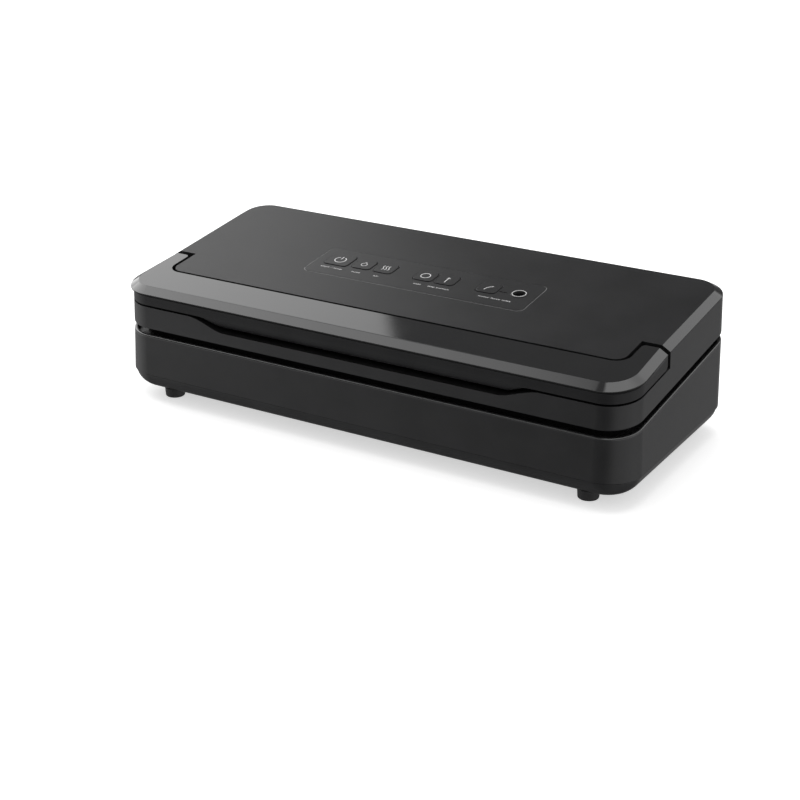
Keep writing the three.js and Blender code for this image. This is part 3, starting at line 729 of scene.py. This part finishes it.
outer_profile = soften([
    (skirt - CHAMFER - 3, OVERHANG, DECK), (skirt - CHAMFER, OVERHANG, DECK, 0.55),
    (skirt, OVERHANG, CHAMFER_LOW, 0.3), (skirt, OVERHANG, CHAMFER_LOW - 0.7, 0.3),
    (skirt, 0.9, CHAMFER_LOW - 3.0, 0.5), (grow(105.0), 0.1, 104.9, 0.4),
    (grow(103), 0, 103.0)])[1:]


def section(kind, t):
    """Closed rings of the handle's skin and of its liner at one place."""
    lip = lip_at(kind, t)

    def outer(level, offset, overhang=0.0):
        x, y = outer_point(kind, t, offset, overhang)
        return x, y, level + slant(y)

    def inner(level, out):
        x, y = inner_point(kind, t, out)
        return x, y, level + slant(y)

    low = grow(HANDLE_LOW)
    skin = [outer(level, offset, overhang) for offset, overhang, level in outer_profile]
    skin += [outer(HANDLE_LOW - drop * lip, low - inset * lip) for drop, inset in LIP]
    skin += [outer(HANDLE_LOW + 0.02 - LIP_DEPTH * lip, low - HANDLE_SKIN - LIP_CURL * lip),
             outer(HANDLE_LOW + 0.04, low - HANDLE_SKIN - LIP_DEPTH * lip),
             outer(CHAMFER_LOW - 4, skirt - HANDLE_SKIN - LIP_DEPTH * lip),
             outer(DECK - HANDLE_SKIN, skirt - HANDLE_SKIN - 4 - 4.0 * lip),
             inner(DECK - HANDLE_SKIN, HANDLE_SKIN),
             inner(HANDLE_LOW + 0.02, HANDLE_SKIN),
             inner(HANDLE_LOW, 0),
             inner(DECK, 0)]
    edge = low - HANDLE_SKIN - GAP - LIP_DEPTH * lip
    liner = [outer(HANDLE_LOW + 0.1, edge),
             outer(HANDLE_LOW + 2, edge),
             inner(HANDLE_LOW + 2, HANDLE_SKIN + GAP),
             inner(HANDLE_LOW + 0.1, HANDLE_SKIN + GAP)]
    return skin, liner


def swept(rings):
    """Closed solid through rings of points."""
    count = len(rings[0])
    faces = tube_faces(len(rings), count)
    faces.append(tuple(range(count)))
    faces.append(tuple(reversed(range((len(rings) - 1) * count, len(rings) * count))))
    return new_mesh([point for ring in rings for point in ring], faces)


skins, liners = zip(*[section(*place) for place in handle_path()])
heel = moved(prism([(ARM_END - 3, HANDLE_LOW - 1), (ARM_END + 2, HANDLE_LOW - 1),
                    (ARM_END + 2, HANDLE_LOW + 4)], -FAR, FAR), SHEAR @ ALONG_X)
handle = cut(swept(skins), heel, rod_x(PIVOT_R + GAP, -PIN_REACH, PIN_REACH, PIVOT_Y, PIVOT_Z))


def on_side(x, y, level, normal):
    return normal.z < 0.3


# Painted shade: the underside of the chamfer's overhang and the handle's inner wall in the U are
# coloured near black.
def under_chamfer(x, y, level, normal):
    return normal.z < -0.3 and level > CHAMFER_LOW - 3.2


def on_inner_wall(x, y, level, normal):
    return abs(normal.z) < 0.3 and x * normal.x + y * normal.y < 0


piece("grip_handle", settle(handle, 0.35), "handle", "handle_plastic", HANDLE, "handle_cover",
      others=[(SHADED_BAND, on_side), (PAINTED_SHADE, under_chamfer), (PAINTED_SHADE, on_inner_wall)])

liner = cut(swept(liners), slab(-FAR, ARM_END - HANDLE_SKIN - 3, FAR, 160, 60, 150))
piece("grip_liner", settle(liner, 0.25), "handle", "inner_plastic", INNER, "handle_liner")

# ---- panel, buttons and port ------------------------------------------------------------------


def button_shape(x, width, height, extra):
    return rect(x - width / 2 - extra, BUTTON_Y - height / 2 - extra,
                x + width / 2 + extra, BUTTON_Y + height / 2 + extra, 4.0 + extra * 0.5, 10)


# Painted highlight and shade: a light grey ring stands for the highlight on the panel's edge, and
# its rear side is coloured near black as painted shade.
def on_rear_line(x, y, level, normal):
    return y > PANEL_Y + PANEL_H / 2 - 2 and abs(x - PANEL_X) < PANEL_W / 2 - 4


panel_edge_highlight = cut(panel_shape(0.06, -0.9, -0.03), panel_shape(0.48, -2, 2))
piece("panel_outline", settle(moved(tidy(panel_edge_highlight), ON_DECK), 0.05, 2), "lid", "panel_plastic",
      PANEL_HIGHLIGHT, others=[(PAINTED_SHADE, on_rear_line)])

port_place = Matrix.Translation((PORT_X, PORT_Y, 0))
link_mark = prism(rect(69.5, 8.3, 77.0, 9.5, 0.55), -0.5, 5)
plate = cut(panel_shape(0.52, -PANEL_THICK, PANEL_RISE),
            *[prism(button_shape(*place, 0.5), -5, 5) for place in BUTTONS.values()],
            moved(rod(PORT_BARREL + GAP, -5, 5), port_place), link_mark)
piece("panel_face", settle(moved(tidy(plate), ON_DECK), 0.2), "lid", "panel_plastic", PANEL,
      "control_panel")

for name, place in BUTTONS.items():
    cap = join(prism(button_shape(*place, 0), -3, BUTTON_RISE),
               prism(button_shape(*place, 1), -3.6, -2.6))
    piece(f"key_{name}", settle(moved(tidy(cap), ON_DECK), 0.65, 4), f"{name}_button",
          "button_plastic", BUTTON, f"{name}_button")

sleeve = turned([
    (PORT_BORE, -5), (PORT_BARREL, -5), (PORT_BARREL, GAP), (PORT_OUTER - 0.1, GAP),
    (PORT_OUTER, 0.38), (PORT_OUTER - 0.15, 0.5), (6.3, 0.55), (6.2, 0.4), (5.2, 0.4), (5.1, 0.3),
    (4.9, -0.3), (PORT_BORE + 0.1, -1.0), (PORT_BORE, -1.4)], 72)
trim = turned([(5.4, 0.42), (6.0, 0.42), (6.0, 0.72), (5.93, 0.86), (5.8, 0.92), (5.6, 0.92),
               (5.47, 0.86), (5.4, 0.72)], 72)
piece("port_sleeve", settle(moved(sleeve, ON_DECK @ port_place), 0), "lid", "panel_plastic", PANEL,
      "port_collar")
piece("port_trim", settle(moved(trim, ON_DECK @ port_place), 0), "lid", "panel_plastic", PRINT)

# ---- printed marks ----------------------------------------------------------------------------


def ribbon(path, width, closed=False):
    """Thin raised strip on a button along a path in deck coordinates, with round ends."""
    points = [Vector(p) for p in path]
    turns = [rad(90 * k / 4) for k in range(4)]
    sections = []
    count = len(points)
    for i, p in enumerate(points):
        before = points[i - 1] if closed or i else p
        after = points[(i + 1) % count] if closed or i < count - 1 else p
        along = (after - before).normalized()
        side = Vector((-along.y, along.x)) * width / 2
        if not closed and i == 0:
            sections += [(p - along * width / 2 * math.cos(a), side * max(0.12, math.sin(a)))
                         for a in turns]
        sections.append((p, side))
        if not closed and i == count - 1:
            sections += [(p + along * width / 2 * math.cos(a), side * max(0.12, math.sin(a)))
                         for a in reversed(turns)]
    low, high = BUTTON_RISE, BUTTON_RISE + PRINT_RISE
    verts, faces = [], []
    for p, side in sections:
        a, b = p + side, p - side
        verts += [(a.x, a.y, low), (b.x, b.y, low), (b.x, b.y, high), (a.x, a.y, high)]
    total = len(sections)
    for i in range(total if closed else total - 1):
        j = (i + 1) % total
        for k in range(4):
            m = (k + 1) % 4
            faces.append((4 * i + k, 4 * i + m, 4 * j + m, 4 * j + k))
    if not closed:
        faces += [(3, 2, 1, 0), tuple(range(4 * total - 4, 4 * total))]
    return new_mesh(verts, faces)


def arc(cx, cy, radius, start, end, steps=40):
    angles = [rad(start + (end - start) * i / steps) for i in range(steps + 1)]
    return [(cx + radius * math.cos(a), cy + radius * math.sin(a)) for a in angles]


def merged(meshes):
    bm = bmesh.new()
    for mesh in meshes:
        bm.from_mesh(mesh)
    out = bpy.data.meshes.new("work")
    bm.to_mesh(out)
    bm.free()
    return out


def drop(cx, cy, width, height):
    """Outline of a water drop, point up."""
    radius = width / 2
    path = arc(cx, cy - height / 2 + radius, radius, -200, 20, 30)
    tip = Vector((cx, cy + height / 2))

    def flank(a, b, bulge):
        return [a.lerp(b, t) + Vector((bulge * math.sin(math.pi * t), 0))
                for t in (0.25, 0.5, 0.75)]

    return path + flank(Vector(path[-1]), tip, -0.35) + [tip] + flank(tip, Vector(path[0]), 0.35)


WAVE = [(0.75 * math.sin(2 * math.pi * i / 16), -3.6 + 7.2 * i / 16) for i in range(17)]
MARKS = {
    "start": [ribbon(arc(-82.8, 10.6, 4.9, 122, 418), 0.8),
              ribbon([(-82.8, 12.0), (-82.8, 16.2)], 0.8)],
    "moist": [ribbon(drop(-58.8, 11.0, 5.2, 7.2), 0.6, True)],
    "dry": [ribbon([(x - 37.8 + wave_x, 11.1 + wave_y) for wave_x, wave_y in WAVE], 0.6)
            for x in (-2.7, 0, 2.7)],
    "seal": [ribbon(arc(0.3, 10.8, 4.1, 0, 360, 48)[:-1], 0.7, True)],
    "pulse": [ribbon([(20.6, 5.9), (20.6, 14.6)], 0.75),
              ribbon([(19.3, 13.2), (20.6, 14.9), (21.9, 13.2)], 0.55)],
    "hose": [ribbon(arc(66.2, 5.4, 9.6, 172, 118, 20), 0.75)],
}
for name, strips in MARKS.items():
    piece(f"mark_{name}", moved(merged(strips), ON_DECK), f"{name}_button", "button_plastic",
          PRINT)

# (text, x, width)
WORDS = [("start / stop", -82.2, 20.9), ("humid", -58.1, 7.8), ("air", -38.3, 4.9),
         ("weld", 0.9, 6.7), ("step suction", 20.9, 19.4), ("outer hose inlet", 72.2, 29.0)]
WORD_Y = -4.9


def word(text, x, width):
    """Raised text, stretched to its width."""
    curve = bpy.data.curves.new("word", "FONT")
    curve.body = text
    curve.size = 3.0
    curve.align_x = "CENTER"
    curve.align_y = "CENTER"
    curve.extrude = PRINT_RISE / 2
    curve.resolution_u = 3
    obj = bpy.data.objects.new("word", curve)
    scene.collection.objects.link(obj)
    graph = bpy.context.evaluated_depsgraph_get()
    mesh = bpy.data.meshes.new_from_object(obj.evaluated_get(graph), depsgraph=graph)
    bpy.data.objects.remove(obj)
    across = [v.co.x for v in mesh.vertices]
    stretch = Matrix.Diagonal((width / (max(across) - min(across)), 1, 1, 1))
    mesh.transform(Matrix.Translation((x, WORD_Y, PANEL_RISE + PRINT_RISE / 2)) @ stretch)
    bm = bmesh.new()
    bm.from_mesh(mesh)
    bmesh.ops.remove_doubles(bm, verts=bm.verts, dist=1e-4)
    bm.to_mesh(mesh)
    bm.free()
    return mesh


words = merged([word(*w) for w in WORDS])
piece("panel_words", moved(words, ON_DECK), "lid", "panel_plastic", PRINT)

# ---- the other CAD nodes: same shapes with softened edges --------------------------------------


def refined(node, bevel):
    mesh = frame["nodes"][node].data.copy()
    mesh.transform(Matrix.Scale(1 / MM, 4))
    return settle(tidy(mesh, 0.5), bevel, 2, 34)


record = frame["record"]
slot_of = {part["node"]: part["material_slot"] for part in record["subparts"]}
body_of = {node: body for body, nodes in record["behaviour"]["bodies"].items() for node in nodes}
for node, obj in sorted(frame["nodes"].items()):
    if not obj.hide_render:
        slot = slot_of[node]
        material = PIN if "_pin_" in node else SLOTS[slot]
        piece(f"{node}_part", refined(node, 0.25), body_of[node], slot, material, node)

# ---- floor and light --------------------------------------------------------------------------

sheet = new_mesh([(-9, -9, 0), (9, -9, 0), (9, 9, 0), (-9, 9, 0)], [(0, 1, 2, 3)])
floor = bpy.data.objects.new("floor", sheet)
scene.collection.objects.link(floor)
paper = bpy.data.materials.new("paper")
paper.use_nodes = True
n = Nodes(paper.node_tree)
diffuse = n.add("ShaderNodeBsdfDiffuse", {"Color": (0.8, 0.8, 0.8, 1)})
glow = n.add("ShaderNodeEmission", {"Color": (1, 1, 1, 1), "Strength": 0.56})
n.add("ShaderNodeOutputMaterial", {"Surface": n.add("ShaderNodeAddShader", {0: diffuse, 1: glow})})
floor.data.materials.append(paper)
floor.visible_glossy = False

# The world is white to the camera and 0.55 to diffuse rays. Glossy rays see a studio of soft boxes,
# placed by azimuth (0 to the rear, positive to the right) and height, in degrees.
world = bpy.data.worlds.new("studio")
scene.world = world
world.use_nodes = True
world.cycles.sampling_method = "NONE"
n = Nodes(world.node_tree)
right, rear, up = n.axes(n.add("ShaderNodeTexCoord", output=0))
azimuth = n.math("MULTIPLY", n.math("ARCTAN2", right, rear), 180 / math.pi)
height = n.math("MULTIPLY", n.math("ARCSINE", up), 180 / math.pi)


def times(first, *others):
    for other in others:
        first = n.math("MULTIPLY", first, other)
    return first


def span(value, low, high, soft):
    """1 between low and high and 0 outside, with soft ends."""
    return times(n.ramp(value, low - soft, low + soft),
                 n.ramp(value, high - soft, high + soft, 1, 0))


# Two of the left boxes end along a diagonal: seen from the side, the deck doesn't mirror them.
tilt = n.math("ADD", height, n.math("MULTIPLY", azimuth, 0.64))
diagonal = n.ramp(tilt, -46, -37)
left_high = times(span(azimuth, -130, -68, 3), span(height, 4, 68.6, 3.5),
                  n.ramp(height, 50, 70, 4.05, 1.0, "LINEAR"), diagonal)
left_low = times(span(azimuth, -72, -35.15, 0.2), span(height, 20, 44, 3),
                 n.ramp(azimuth, -60, -35, 2.78, 1.6, "LINEAR"))
left_horizon = times(span(azimuth, -84, -53, 3), span(height, 1, 30, 2), 2.6, diagonal)
across = n.math("ADD", right, n.math("MULTIPLY", up, 0.51))
far_right = times(n.ramp(azimuth, 84, 100, 0.0, 0.7), n.ramp(height, 28, 42, 1.0, 0.0))
right_box = times(n.ramp(across, 0.31, 0.42), n.ramp(height, 8, 16),
                  n.ramp(height, 45, 70, 1.72, 2.7), n.math("SUBTRACT", 1.0, far_right))
front_box = times(n.ramp(n.math("ABSOLUTE", azimuth), 138, 150), n.ramp(height, 10, 18),
                  n.ramp(height, 48, 56, 0.8, 0.0))
mirror = left_high
for box in (left_low, left_horizon, right_box, front_box):
    mirror = n.math("MAXIMUM", mirror, box)
overhead = times(n.ramp(height, -3, 3), n.ramp(height, 50, 72, 0.14, 0.3))
ground = times(n.ramp(azimuth, -165, -130, 0.2, 1.6), n.ramp(azimuth, -120, -60, 1.0, 0.28),
               n.ramp(azimuth, 30, 85, 1.0, 3.6), n.ramp(azimuth, 125, 165, 1.0, 0.05),
               n.ramp(height, -50, -22, 0.2, 1.0), n.ramp(height, -3, 3, 1.0, 0.0))
mirror = n.math("ADD", n.math("ADD", mirror, overhead), ground)
ray = n.tree.nodes.new("ShaderNodeLightPath").outputs
seen = n.add("ShaderNodeMix", {0: ray["Is Glossy Ray"], 2: 0.55, 3: mirror}, data_type="FLOAT")
seen = n.add("ShaderNodeMix", {0: ray["Is Camera Ray"], 2: seen, 3: 1.0}, data_type="FLOAT")
background = n.add("ShaderNodeBackground", {"Color": (1, 1, 1, 1), "Strength": seen})
n.add("ShaderNodeOutputWorld", {"Surface": background})

for name, location, size, power in (("top_light", (-0.35, 0.2, 2.6), (2.4, 2.4), 40),
                                    ("left_light", (-2.2, 0.6, 1.5), (1.6, 1.2), 22)):
    light = bpy.data.lights.new(name, "AREA")
    light.shape = "RECTANGLE"
    light.size, light.size_y = size
    light.energy = power
    lamp = bpy.data.objects.new(name, light)
    scene.collection.objects.link(lamp)
    aim(lamp, location, (0, 0, 0))
    lamp.visible_camera = False
    lamp.visible_glossy = False
